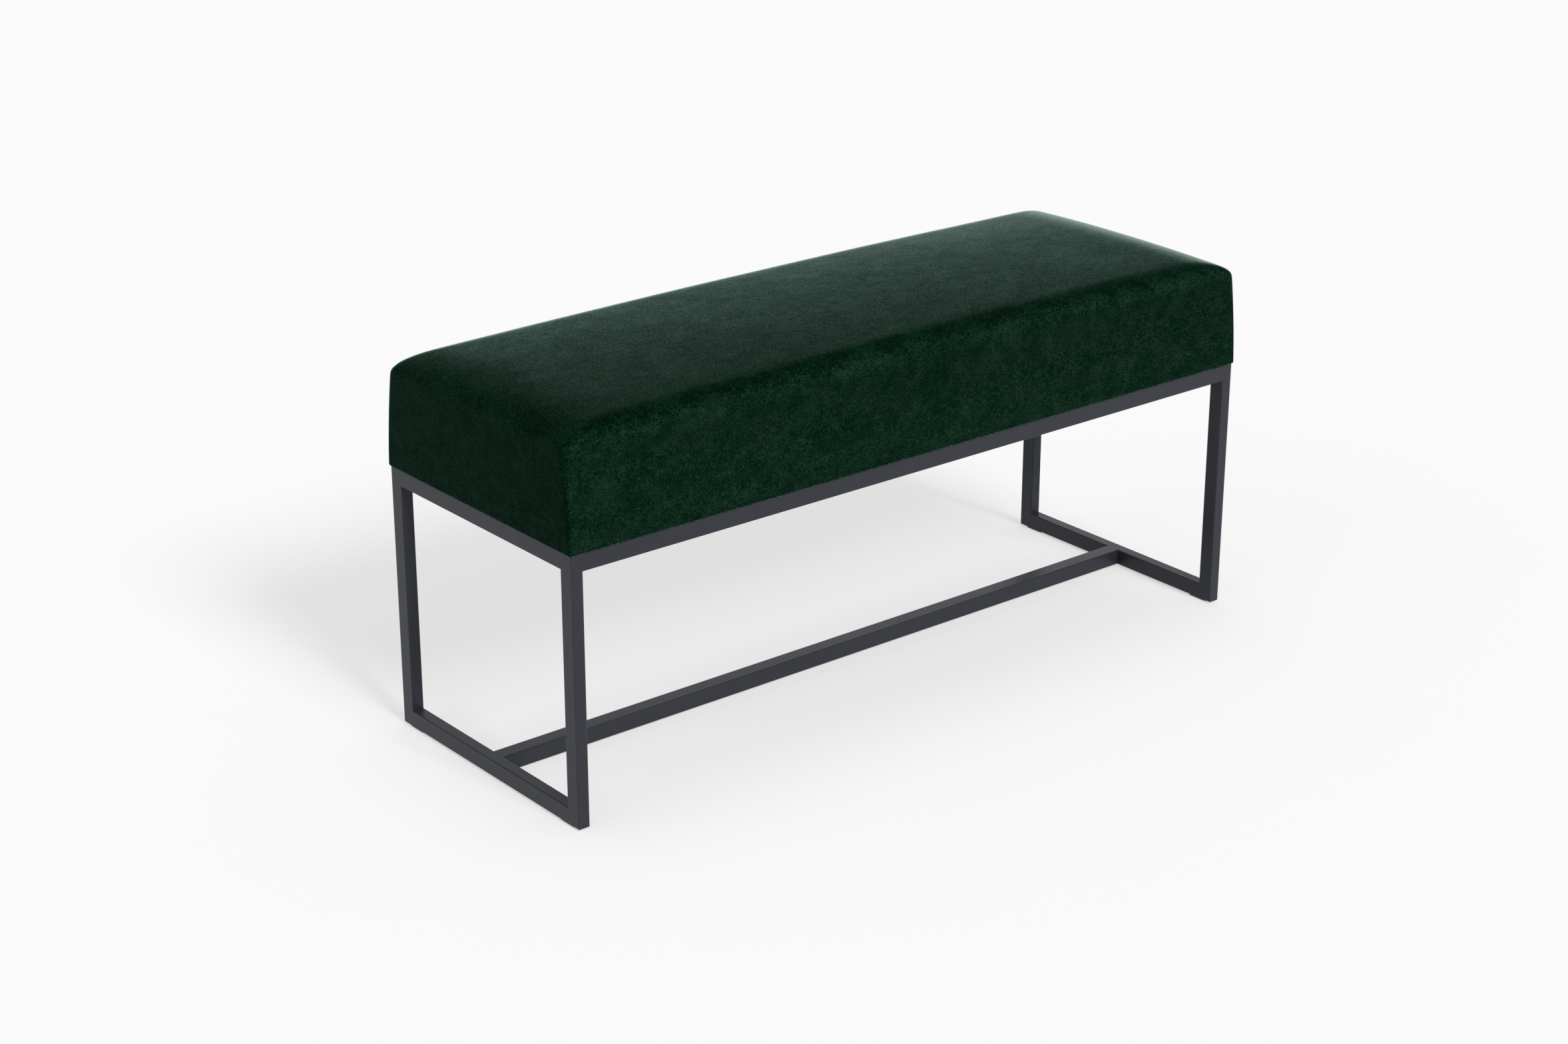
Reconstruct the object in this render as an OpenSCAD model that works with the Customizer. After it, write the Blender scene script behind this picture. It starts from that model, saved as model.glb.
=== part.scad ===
// Upholstered bench: a crowned seat cushion on an open frame of welded rectangular steel tube.
// The origin is on the floor under the middle of the bench, X runs along its length and Y from front to back.

/* [Frame] */
// Length of the frame over the end loops
frame_l = 1000; // [800:10:1400]
// Depth of the frame from front to back
frame_d = 350; // [300:5:450]
// Height of the seat frame's upper face above the floor
frame_top = 320; // [260:5:420]

/* [Tube] */
// Thickness of the frame tube, seen from the front
tube_t = 15; // [12:1:25]
// Depth of the frame tube, which is the height of every rail
tube_h = 20; // [18:1:30]
// Wall of all tubes
tube_wall = 1.5; // [1:0.1:2]
// Outer radius of the tubes' long edges
tube_edge_r = 1.2; // [0.6:0.1:2.5]
// Width of the square stretcher tube
stretcher_w = 20; // [15:1:30]
// Diameter of the vent holes on the hidden sides of the tubes
vent_d = 6; // [4:0.5:8]
// Distance of each vent hole from its tube's end
vent_in = 60; // [45:5:100]

/* [Floor pads] */
// Thickness of the pads under the floor rails
pad_t = 2; // [1:0.5:4]
// Width of a pad
pad_w = 11; // [8:1:12]
// Length of a pad
pad_l = 32; // [20:1:36]
// Distance of a pad from the front or back face
pad_in = 8; // [5:1:15]

/* [Plates] */
// Thickness of the corner plates and tabs
plate_t = 4; // [3:0.5:6]
// Length of a corner plate along each rail
plate_leg = 60; // [55:1:75]
// Width of a corner plate's clipped tips
plate_clip = 8; // [5:1:12]
// Distance of a corner plate's hole from both rails
plate_hole_in = 22; // [20:1:24]
// Width of a tab along its rail
tab_w = 50; // [36:1:70]
// Reach of a tab from its rail
tab_reach = 32; // [30:1:40]
// Distance of a tab's hole from its rail
tab_hole_in = 18; // [16:1:20]
// Radius of a tab's free corners
tab_r = 6; // [3:1:10]
// Side of the fillet welds
weld_leg = 3; // [2:0.5:4]
// Length of each weld
weld_l = 20; // [12:1:24]

/* [Fasteners] */
// Thread diameter of the seat bolts
bolt_d = 6; // [5:1:6]
// Length of the bolts under the head
bolt_l = 20; // [18:1:22]
// Width of the hexagon heads across flats
bolt_flats = 10; // [8:1:11]
// Height of the bolt heads
bolt_head_h = 4; // [3:0.5:5]
// Clearance of the bolts in drilled holes, on the diameter
bolt_play = 1; // [0.6:0.1:1.5]
// Outer diameter of the washers
washer_d = 12; // [12:1:16]
// Thickness of the washers
washer_t = 1.6; // [1:0.2:2]
// Outer diameter of the tee nuts' barrels
nut_barrel_d = 7.8; // [7.6:0.1:9]
// Length of the tee nuts' barrels
nut_barrel_l = 9; // [7:0.5:10]
// Diameter of the tee nuts' flanges
nut_flange_d = 19; // [16:1:20]
// Thickness of the tee nuts' flanges
nut_flange_t = 1.5; // [1:0.1:2]
// Width of a staple's crown
staple_w = 10; // [8:1:12]
// Length of a staple's legs
staple_leg_l = 8; // [6:1:10]
// Width of the staple wire
staple_wire_w = 1.2; // [0.8:0.1:1.4]
// Thickness of the staple wire
staple_wire_t = 0.5; // [0.4:0.1:0.7]
// Distance between the staples of the cover
cover_staple_step = 50; // [35:5:80]
// Distance between the staples of the dust cover
dust_staple_step = 100; // [80:5:120]

/* [Seat board] */
// Thickness of the plywood board
board_t = 15; // [14:1:20]
// Corner radius of the board
board_r = 4; // [2:1:8]

/* [Cushion] */
// Height of the cushion at the rim of its top, before the crown
rim_h = 132; // [90:2:170]
// Rise of the crown along the length
crown_l = 5; // [0:0.5:15]
// Rise of the crown from front to back
crown_d = 6; // [0:0.5:12]
// How far the cushion stands out past the frame's ends
overhang_l = 2.5; // [1:0.5:4]
// How far the cushion stands out past the frame's front and back
overhang_d = 2; // [1:0.5:4]
// How far the ends lean in from bottom to shoulder
lean_l = 0.5; // [0:0.5:6]
// How far the front and back lean in from bottom to shoulder
lean_d = 4; // [0:0.5:8]
// How far the sides are drawn in halfway between the corners
side_pull = 1.5; // [0:0.5:4]
// Length of the rounding at the ends of the top
round_l = 76; // [30:2:120]
// Depth of the rounding at the front and back of the top
round_d = 32; // [16:1:45]
// Height of the rounding
round_h = 21; // [15:1:40]
// Fullness of the rounding, where 2 is an ellipse
round_fullness = 2.1; // [2:0.1:4]
// Fullness of the corners, where 2 is a quarter ellipse and more is sharper
corner_fullness = 8; // [3:1:12]
// Radius of the upright corners at the bottom
corner_base_r = 10; // [9:1:15]
// Height of the small rounding where the cover turns under the board
tuck_h = 2.5; // [1.5:0.5:4]

/* [Cloth] */
// Thickness of the velour cover
cover_t = 1.2; // [0.8:0.1:1.6]
// Width of the cover's fold under the board
fold_w = 28; // [27:1:32]
// Thickness of the wadding
wadding_t = 6; // [4:0.5:10]
// Thickness of the dust cover
dust_t = 0.4; // [0.3:0.1:0.6]
// Distance of the dust cover's edge from the frame's outer faces
dust_in = 18; // [17:0.5:19]

/* [Hidden] */
$fn = 32;

// Small working clearances and overshoots
cut_over = 1;
soft_gap = 0.4;
nut_gap = 0.2;

// The end loops stand on the pads and reach from pad_t to frame_top
loop_h = frame_top - pad_t;
half_l = frame_l / 2;
half_d = frame_d / 2;
rail_l = frame_l - 2 * tube_t;
inner_l = half_l - tube_t;
inner_d = half_d - tube_t;

// Levels of the seat, from the plates upward
plate_top = frame_top - dust_t;
plate_under = plate_top - plate_t;
washer_under = plate_under - washer_t;
board_under = frame_top + cover_t;
board_top = board_under + board_t;

// Places of the bolts: one in each corner plate and one in each tab
bolt_x = inner_l - plate_hole_in;
bolt_y = inner_d - plate_hole_in;
tab_bolt_y = inner_d - tab_hole_in;
bolt_places = [
    [-bolt_x, -bolt_y], [bolt_x, -bolt_y], [-bolt_x, bolt_y], [bolt_x, bolt_y],
    [0, -tab_bolt_y], [0, tab_bolt_y]
];
bolt_hole_d = bolt_d + bolt_play;
nut_hole_d = nut_barrel_d + nut_gap;

// The cushion's layers, as insets from the outer face of the cover
wadding_in = cover_t + soft_gap;
core_in = wadding_in + wadding_t;
foam_in = core_in + soft_gap;
cushion_half_l = half_l + overhang_l;
cushion_half_d = half_d + overhang_d;
shoulder_h = rim_h - round_h;
board_share = (cover_t + board_t) / shoulder_h;
board_pull = side_pull * sin(180 * board_share);
board_half_l = cushion_half_l - foam_in - lean_l * board_share - board_pull;
board_half_d = cushion_half_d - foam_in - lean_d * board_share - board_pull;
board_corner_r = max(board_r, corner_base_r - foam_in);

// The staples sit in the strip that the dust cover and the cover's fold share
fold_edge_l = cushion_half_l - fold_w;
fold_edge_d = cushion_half_d - fold_w;
strip_l = half_l - dust_in - fold_edge_l;
strip_d = half_d - dust_in - fold_edge_d;
row_share = 0.3;

// Facets of the cushion: steps over a rounding, along the flat top and up the sides
round_steps = 4;
steps_long = 10;
steps_deep = 4;
side_steps = 3;
lines_long = steps_long + 2 * round_steps;
lines_deep = steps_deep + 2 * round_steps;
rim_count = 2 * (lines_long + lines_deep);

// Section of a tube lying along Z: outer width by height with rounded edges, and the hollow
module rounded_outline(w, h, r) {
    square([w - 2 * r, h], center = true);
    square([w, h - 2 * r], center = true);
    for (x = [-1, 1], y = [-1, 1])
        translate([x * (w / 2 - r), y * (h / 2 - r)]) circle(r = r);
}

module tube_section(w, h) {
    difference() {
        rounded_outline(w, h, tube_edge_r);
        square([w - 2 * tube_wall, h - 2 * tube_wall], center = true);
    }
}

// A tube along X from the origin, centred on Y, with its lower face at z = 0
module tube_x(len, w, h) {
    translate([0, 0, h / 2])
        rotate([90, 0, 90]) linear_extrude(height = len) tube_section(w, h);
}

// A vent hole through the wall that faces down, at x
module vent(x) {
    translate([x, 0, -cut_over]) cylinder(d = vent_d, h = tube_wall + 2 * cut_over);
}

// A loop member along X, cut at 45 degrees at both ends so that its upper face is the short one
module mitred_tube(len, vented) {
    intersection() {
        difference() {
            tube_x(len, tube_t, tube_h);
            if (vented)
                for (x = [vent_in, len - vent_in]) vent(x);
        }
        rotate([90, 0, 0]) linear_extrude(height = tube_t + 2 * cut_over, center = true)
            polygon([[0, 0], [len, 0], [len - tube_h, tube_h], [tube_h, tube_h]]);
    }
}

// side is -1 for the left loop and 1 for the right one
module loop_place(side) {
    translate([side * (half_l - tube_t / 2), 0, pad_t]) children();
}

module floor_rail(side) {
    color("#46474b") loop_place(side)
        translate([0, -half_d, 0]) rotate([0, 0, 90]) mitred_tube(frame_d, true);
}

module top_rail(side) {
    color("#46474b") loop_place(side)
        translate([0, -half_d, loop_h]) mirror([0, 0, 1]) rotate([0, 0, 90]) mitred_tube(frame_d, false);
}

// end is -1 for a front leg and 1 for a back leg
module leg(side, end) {
    color("#46474b") loop_place(side)
        translate([0, end * half_d, 0]) mirror([0, end > 0 ? 1 : 0, 0])
            rotate([-90, 0, 0]) rotate([0, 0, 90]) mirror([1, 0, 0]) mitred_tube(loop_h, false);
}

// A long rail of the seat frame, butted between the loops
module long_rail(end) {
    color("#46474b") translate([-inner_l, end * (half_d - tube_t / 2), frame_top - tube_h])
        difference() {
            tube_x(rail_l, tube_t, tube_h);
            for (x = [vent_in, rail_l - vent_in]) vent(x);
        }
}

module stretcher() {
    color("#46474b") translate([-inner_l, 0, pad_t])
        difference() {
            tube_x(rail_l, stretcher_w, tube_h);
            for (x = [vent_in, rail_l - vent_in]) vent(x);
        }
}

// Corner plate, flush with the dust cover's lower face, drawn in the front left corner
module corner_plate(side, end) {
    color("#3c3d41") mirror([side > 0 ? 1 : 0, 0, 0]) mirror([0, end > 0 ? 1 : 0, 0])
        translate([-inner_l, -inner_d, plate_under]) difference() {
            linear_extrude(height = plate_t) polygon([
                [0, 0], [plate_leg, 0], [plate_leg, plate_clip], [plate_clip, plate_leg], [0, plate_leg]
            ]);
            translate([plate_hole_in, plate_hole_in, -cut_over])
                cylinder(d = bolt_hole_d, h = plate_t + 2 * cut_over);
        }
}

module tab(end) {
    color("#3c3d41") mirror([0, end > 0 ? 1 : 0, 0])
        translate([0, -inner_d, plate_under]) difference() {
            linear_extrude(height = plate_t) {
                translate([-tab_w / 2, 0]) square([tab_w, tab_reach - tab_r]);
                translate([tab_r - tab_w / 2, 0]) square([tab_w - 2 * tab_r, tab_reach]);
                for (x = [-1, 1])
                    translate([x * (tab_w / 2 - tab_r), tab_reach - tab_r]) circle(r = tab_r);
            }
            translate([0, tab_hole_in, -cut_over])
                cylinder(d = bolt_hole_d, h = plate_t + 2 * cut_over);
        }
}

// A fillet weld along X in the corner between a plate's lower face and a rail at y = 0
module weld() {
    translate([-weld_l / 2, 0, 0]) rotate([90, 0, 90])
        linear_extrude(height = weld_l) polygon([[0, 0], [weld_leg, 0], [0, -weld_leg]]);
}

module plate_welds() {
    weld_mid = (plate_leg + plate_clip) / 2;
    tab_weld = (tab_w - weld_l) / 2;
    color("#3c3d41") for (s = [0, 1], e = [0, 1])
        mirror([s, 0, 0]) mirror([0, e, 0]) translate([-inner_l, -inner_d, plate_under]) {
            translate([weld_mid, 0, 0]) weld();
            translate([0, weld_mid, 0]) rotate([0, 0, 90]) mirror([0, 1, 0]) weld();
        }
    color("#3c3d41") for (e = [0, 1], x = [-tab_weld, tab_weld])
        mirror([0, e, 0]) translate([x, -inner_d, plate_under]) weld();
}

// Pad with round ends under a floor rail
module floor_pad(side, end) {
    pad_y = half_d - pad_in - pad_l / 2;
    color("#2b2b2c") translate([side * (half_l - tube_t / 2), end * pad_y, 0])
        linear_extrude(height = pad_t) {
            square([pad_w, pad_l - pad_w], center = true);
            for (y = [-1, 1]) translate([0, y * (pad_l - pad_w) / 2]) circle(d = pad_w);
        }
}

// Bolts, washers and tee nuts, all on the same places
module seat_bolts() {
    color("#8d8f92") for (p = bolt_places) translate([p[0], p[1], washer_under]) {
        cylinder(d = bolt_d, h = bolt_l);
        translate([0, 0, -bolt_head_h]) cylinder(r = bolt_flats / 2 / cos(30), h = bolt_head_h, $fn = 6);
    }
}

module washers() {
    washer_hole_d = bolt_d + 2 * nut_gap;
    color("#9a9c9f") for (p = bolt_places) translate([p[0], p[1], washer_under]) difference() {
        cylinder(d = washer_d, h = washer_t);
        translate([0, 0, -cut_over]) cylinder(d = washer_hole_d, h = washer_t + 2 * cut_over);
    }
}

module tee_nuts() {
    nut_bore_d = bolt_d + nut_gap;
    nut_l = nut_flange_t + nut_barrel_l;
    color("#a5a7a9") for (p = bolt_places) translate([p[0], p[1], board_top - nut_l]) difference() {
        union() {
            cylinder(d = nut_barrel_d, h = nut_l);
            translate([0, 0, nut_barrel_l]) cylinder(d = nut_flange_d, h = nut_flange_t);
        }
        translate([0, 0, -cut_over]) cylinder(d = nut_bore_d, h = nut_l + 2 * cut_over);
    }
}

module seat_board() {
    flange_hole_d = nut_flange_d + nut_gap;
    color("#c9a574") translate([0, 0, board_under]) difference() {
        linear_extrude(height = board_t)
            rounded_outline(2 * board_half_l, 2 * board_half_d, board_corner_r);
        for (p = bolt_places) translate([p[0], p[1], 0]) {
            translate([0, 0, -cut_over]) cylinder(d = nut_hole_d, h = board_t + 2 * cut_over);
            translate([0, 0, board_t - nut_flange_t]) cylinder(d = flange_hole_d, h = nut_flange_t + cut_over);
        }
    }
}

module dust_cover() {
    color("#232323") translate([0, 0, frame_top - dust_t]) difference() {
        linear_extrude(height = dust_t) square([frame_l - 2 * dust_in, frame_d - 2 * dust_in], center = true);
        for (p = bolt_places) translate([p[0], p[1], -cut_over])
            cylinder(d = nut_hole_d, h = dust_t + 2 * cut_over);
    }
}

// A staple with its crown along X, its lower face at z = 0 and its legs up
module staple() {
    translate([-staple_w / 2, -staple_wire_w / 2, 0]) cube([staple_w, staple_wire_w, staple_wire_t]);
    for (x = [-staple_w / 2, staple_w / 2 - staple_wire_t])
        translate([x, -staple_wire_w / 2, 0]) cube([staple_wire_t, staple_wire_w, staple_leg_l]);
}

// Staples along all four sides at height z, at a share of the strip's width from the fold's edge
module staple_rows(xs, ys, share, z) {
    row_x = fold_edge_l + strip_l * share;
    row_y = fold_edge_d + strip_d * share;
    for (s = [-1, 1], x = xs) translate([x, s * row_y, z]) staple();
    for (s = [-1, 1], y = ys) translate([s * row_x, y, z]) rotate([0, 0, 90]) staple();
}

module cover_staples() {
    nl = floor((fold_edge_l - staple_w) / cover_staple_step);
    nd = floor((fold_edge_d - staple_w) / cover_staple_step);
    color("#b9bbbd") staple_rows(
        [for (k = [-nl:nl]) k * cover_staple_step],
        [for (k = [-nd:nd]) k * cover_staple_step],
        row_share,
        frame_top
    );
}

module dust_cover_staples() {
    free_l = inner_l - plate_leg - staple_w;
    free_d = inner_d - plate_leg - staple_w;
    first_l = tab_w / 2 + staple_w;
    nl = floor((free_l - first_l) / dust_staple_step);
    nd = floor(2 * free_d / dust_staple_step);
    color("#b9bbbd") staple_rows(
        [for (s = [-1, 1], k = [0:nl]) s * (first_l + k * dust_staple_step)],
        [for (k = [0:nd]) (k - nd / 2) * dust_staple_step],
        1 - row_share,
        plate_top - staple_wire_t
    );
}

// Cushion form
// Grid lines i cross the top: round_steps over each rounding and the flat steps between.
// A line's share of the rounding is 0 on the flat and grows to 1 at the rim.
function round_share(i, flat) =
    i < round_steps ? sin(90 * (round_steps - i) / round_steps)
    : i > round_steps + flat ? sin(90 * (i - round_steps - flat) / round_steps)
    : 0;
function flat_share(i, flat) = min(1, max(-1, 2 * (i - round_steps) / flat - 1));
function place(i, flat, share, half, r) = flat_share(i, flat) * (half - r + r * share);

// Factor that draws the square corner of the grid onto the rounded corner
function corner_factor(sx, sy) =
    max(sx, sy) == 0 ? 1
    : max(sx, sy) / pow(pow(sx, corner_fullness) + pow(sy, corner_fullness), 1 / corner_fullness);

// Point of the top at grid place i, j for a layer that lies inset inside the cover's face
function top_point(i, j, inset) =
    let (
        sx = round_share(i, steps_long),
        sy = round_share(j, steps_deep),
        f = corner_factor(sx, sy),
        half_x = cushion_half_l - lean_l - inset,
        half_y = cushion_half_d - lean_d - inset,
        x = place(i, steps_long, sx * f, half_x, round_l - inset),
        y = place(j, steps_deep, sy * f, half_y, round_d - inset),
        dome = pow(1 - pow(max(sx, sy), round_fullness), 1 / round_fullness),
        rise = round_h - inset + crown_l * (1 - pow(x / half_x, 2)) + crown_d * (1 - pow(y / half_y, 2))
    )
    [x, y, frame_top + shoulder_h + rise * dome];

// Point of the side at rim place i, j and height z over the frame
function side_point(i, j, inset, z) =
    let (
        w = z / shoulder_h,
        sx = round_share(i, steps_long),
        sy = round_share(j, steps_deep),
        f = corner_factor(sx, sy),
        base_r = corner_base_r - inset,
        half_x = cushion_half_l - lean_l * w - inset,
        half_y = cushion_half_d - lean_d * w - inset,
        x = place(i, steps_long, sx * f, half_x, base_r + (round_l - corner_base_r) * w * w),
        y = place(j, steps_deep, sy * f, half_y, base_r + (round_d - corner_base_r) * w * w),
        pull = side_pull * sin(180 * w),
        pull_x = (i == 0 || i == lines_long) ? pull * (1 - pow(y / half_y, 2)) : 0,
        pull_y = (j == 0 || j == lines_deep) ? pull * (1 - pow(x / half_x, 2)) : 0
    )
    [x - sign(x) * pull_x, y - sign(y) * pull_y, frame_top + z];

// The rim's grid places in order round the cushion, counter-clockwise from above
rim = concat(
    [for (i = [0:lines_long - 1]) [i, 0]],
    [for (j = [0:lines_deep - 1]) [lines_long, j]],
    [for (i = [lines_long:-1:1]) [i, lines_deep]],
    [for (j = [lines_deep:-1:1]) [0, j]]
);

function top_points(inset) = [for (i = [0:lines_long], j = [0:lines_deep]) top_point(i, j, inset)];
function side_ring(inset, z) = [for (g = rim) side_point(g[0], g[1], inset, z)];

// Rings down a side from just under the shoulder to height low
function side_rings(inset, low) =
    [for (k = [side_steps - 1:-1:0]) side_ring(inset, low + (shoulder_h - low) * k / side_steps)];

// Number of a top point, of a rim place in a top, and of a place in a ring
function grid_no(g, first) = first + g[0] * (lines_deep + 1) + g[1];
function rim_numbers(first) = [for (g = rim) grid_no(g, first)];
function ring_numbers(first) = [for (k = [0:rim_count - 1]) first + k];

// Triangles of a top that faces up, or down when turned
function top_faces(first, turned) = [
    for (i = [0:lines_long - 1], j = [0:lines_deep - 1])
        let (
            a = grid_no([i, j], first), b = grid_no([i + 1, j], first),
            c = grid_no([i + 1, j + 1], first), d = grid_no([i, j + 1], first),
            along = (i < lines_long / 2) == (j < lines_deep / 2)
        )
        each [
            for (t = along ? [[a, c, b], [a, d, c]] : [[a, d, b], [b, d, c]])
                turned ? [t[0], t[2], t[1]] : t
        ]
];

// Triangles of the band between two rings, where the second is further down the outside
function band_faces(upper, lower) = [
    for (k = [0:rim_count - 1])
        let (n = (k + 1) % rim_count)
        each [[upper[k], upper[n], lower[n]], [upper[k], lower[n], lower[k]]]
];

// A closed shell: outer top, rings down the outside and up the inside, inner top
module shell(outer_top, rings, inner_top) {
    top_count = (lines_long + 1) * (lines_deep + 1);
    inner_first = top_count + len(rings) * rim_count;
    loops = concat(
        [rim_numbers(0)],
        [for (k = [0:len(rings) - 1]) ring_numbers(top_count + k * rim_count)],
        [rim_numbers(inner_first)]
    );
    polyhedron(
        points = concat(outer_top, [for (r = rings) each r], inner_top),
        faces = concat(
            top_faces(0, false),
            [for (k = [0:len(loops) - 2]) each band_faces(loops[k], loops[k + 1])],
            top_faces(inner_first, true)
        )
    );
}

// The cover: velour over the cushion, turned under the board and ending in a flat fold
module seat_cover() {
    turn_in = min(overhang_l, overhang_d);
    inside = side_rings(cover_t, cover_t);
    color("#12281e") shell(
        top_points(0),
        concat(
            side_rings(0, tuck_h),
            [side_ring(turn_in, 0), fold_ring(0), fold_ring(cover_t)],
            [for (k = [side_steps - 1:-1:0]) inside[k]]
        ),
        top_points(cover_t)
    );
}

// Inner edge of the fold at height z over the frame
function fold_ring(z) = [
    for (g = rim)
        let (
            sx = round_share(g[0], steps_long),
            sy = round_share(g[1], steps_deep),
            f = corner_factor(sx, sy)
        )
        [
            place(g[0], steps_long, sx * f, fold_edge_l, corner_base_r),
            place(g[1], steps_deep, sy * f, fold_edge_d, corner_base_r),
            frame_top + z
        ]
];

module wadding() {
    inside = side_rings(core_in, cover_t);
    color("#f2f1ec") shell(
        top_points(wadding_in),
        concat(side_rings(wadding_in, cover_t), [for (k = [side_steps - 1:-1:0]) inside[k]]),
        top_points(core_in)
    );
}

// The foam stands on the board, with a flat lower face
module foam_block() {
    low = cover_t + board_t;
    rings = side_rings(foam_in, low);
    top_count = (lines_long + 1) * (lines_deep + 1);
    last = ring_numbers(top_count + (side_steps - 1) * rim_count);
    middle = top_count + side_steps * rim_count;
    loops = concat(
        [rim_numbers(0)],
        [for (k = [0:side_steps - 1]) ring_numbers(top_count + k * rim_count)]
    );
    color("#e9dfc0") polyhedron(
        points = concat(top_points(foam_in), [for (r = rings) each r], [[0, 0, frame_top + low]]),
        faces = concat(
            top_faces(0, false),
            [for (k = [0:side_steps - 1]) each band_faces(loops[k], loops[k + 1])],
            [for (k = [0:rim_count - 1]) [last[k], last[(k + 1) % rim_count], middle]]
        )
    );
}

long_rail(-1);  // front_rail
long_rail(1);  // back_rail
top_rail(-1);  // left_top_rail
top_rail(1);  // right_top_rail
floor_rail(-1);  // left_floor_rail
floor_rail(1);  // right_floor_rail
leg(-1, -1);  // front_left_leg
leg(-1, 1);  // back_left_leg
leg(1, -1);  // front_right_leg
leg(1, 1);  // back_right_leg
stretcher();
corner_plate(-1, -1);  // corner_plate_front_left
corner_plate(-1, 1);  // corner_plate_back_left
corner_plate(1, -1);  // corner_plate_front_right
corner_plate(1, 1);  // corner_plate_back_right
tab(-1);  // front_tab
tab(1);  // back_tab
plate_welds();
floor_pad(-1, -1);  // floor_pad_front_left
floor_pad(-1, 1);  // floor_pad_back_left
floor_pad(1, -1);  // floor_pad_front_right
floor_pad(1, 1);  // floor_pad_back_right
seat_board();
foam_block();
wadding();
seat_cover();
dust_cover();
cover_staples();
dust_cover_staples();
tee_nuts();
seat_bolts();
washers();
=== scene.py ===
"""Dresses the upholstered bench: velour cushion, powder-coated tube frame and the fixings under the seat."""
import logging
import math
from dataclasses import dataclass, field
from enum import Enum
from typing import Callable, Iterable, Sequence

import bpy
import numpy as np
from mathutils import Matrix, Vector, noise


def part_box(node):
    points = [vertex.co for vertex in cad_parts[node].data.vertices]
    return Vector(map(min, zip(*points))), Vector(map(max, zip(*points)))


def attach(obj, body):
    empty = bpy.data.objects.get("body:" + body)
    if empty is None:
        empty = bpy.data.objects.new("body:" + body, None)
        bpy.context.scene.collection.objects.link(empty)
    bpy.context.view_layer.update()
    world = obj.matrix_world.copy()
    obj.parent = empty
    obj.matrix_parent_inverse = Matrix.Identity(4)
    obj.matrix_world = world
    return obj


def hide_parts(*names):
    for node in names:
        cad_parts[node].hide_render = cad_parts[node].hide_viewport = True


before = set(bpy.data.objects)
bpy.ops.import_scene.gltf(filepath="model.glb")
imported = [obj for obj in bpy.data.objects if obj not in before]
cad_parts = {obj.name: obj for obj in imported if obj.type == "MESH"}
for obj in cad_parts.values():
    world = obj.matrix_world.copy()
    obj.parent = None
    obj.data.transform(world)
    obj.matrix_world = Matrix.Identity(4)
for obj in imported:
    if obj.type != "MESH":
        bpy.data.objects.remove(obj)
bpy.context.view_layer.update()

MM = 0.001
BODY = "root"
QUARTER = math.pi / 2
TINY = 1e-9

Pair = tuple[float, float]
Point = tuple[float, float, float]
Face = tuple[int, ...]
Tree = bpy.types.NodeTree
Node = bpy.types.Node
Source = bpy.types.Node | bpy.types.NodeSocket
Material = bpy.types.Material
Piece = bpy.types.Object

log = logging.getLogger("bench")


class Side(Enum):
    """A side of the bench, as the sign of its axis."""

    @property
    def word(self) -> str:
        """The side's name as the CAD nodes spell it."""
        return self.name.lower()

    def outer(self, low: float, high: float) -> float:
        """Whichever of a box's two limits lies on this side."""
        return high if self.value > 0 else low


class End(Side):
    """The two ends of the bench, as the sign of X."""

    LEFT = -1
    RIGHT = 1


class Row(Side):
    """The front and the back of the bench, as the sign of Y."""

    FRONT = -1
    BACK = 1


class Slot(Enum):
    """The names of the record's material slots."""

    VELOUR = "velour"
    SPUNBOND = "nonwoven"
    ZINC = "zinc_steel"
    TUBE = "coated_steel"
    PLATE = "coated_plate"


def linear(hex_colour: str) -> tuple[float, float, float, float]:
    """Turns an sRGB hex colour into the linear colour that shaders use.

    Args:
        hex_colour: six hex digits after a hash sign.

    Returns:
        Red, green, blue and alpha.
    """
    levels = [int(hex_colour[k:k + 2], 16) / 255 for k in (1, 3, 5)]
    red, green, blue = (c / 12.92 if c <= 0.04045 else ((c + 0.055) / 1.055) ** 2.4 for c in levels)
    return (red, green, blue, 1.0)


def feed(node: Node, links: dict[str | int, Source]) -> None:
    """Links what feeds a node's inputs.

    Args:
        node: the node that is fed.
        links: a socket, or a node for its first output in use, by the input's name or number.
    """
    for key, source in links.items():
        if isinstance(source, Node):
            source = next(socket for socket in source.outputs if socket.enabled)
        node.id_data.links.new(source, node.inputs[key])


def add_node(
    tree: Tree, kind: str, settings: dict | None = None, links: dict | None = None,
) -> Node:
    """Adds one shader node with its settings and links.

    Args:
        tree: the node tree that the node joins.
        kind: Blender's name of the node's type, without the ShaderNode before it.
        settings: values by socket name, socket number or property name.
        links: what feeds the inputs, as in feed.

    Returns:
        The new node.
    """
    node = tree.nodes.new("ShaderNode" + kind)
    inputs = {}
    for key, value in (settings or {}).items():
        if isinstance(key, int) or not hasattr(node, key):
            inputs[key] = value
        else:
            setattr(node, key, value)
    for key, value in inputs.items():
        node.inputs[key].default_value = value
    feed(node, links or {})
    return node


def seen_directly(tree: Tree) -> Node:
    """Gives 1 for rays of the camera, of gloss and of transmission, and 0 for the light's own rays.

    Args:
        tree: the node tree.

    Returns:
        The node with that value.
    """
    rays = add_node(tree, "LightPath").outputs
    found = rays["Is Camera Ray"]
    for name in ("Is Glossy Ray", "Is Transmission Ray"):
        found = add_node(tree, "Math", {"operation": "MAXIMUM"}, {0: found, 1: rays[name]})
    return found


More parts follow.
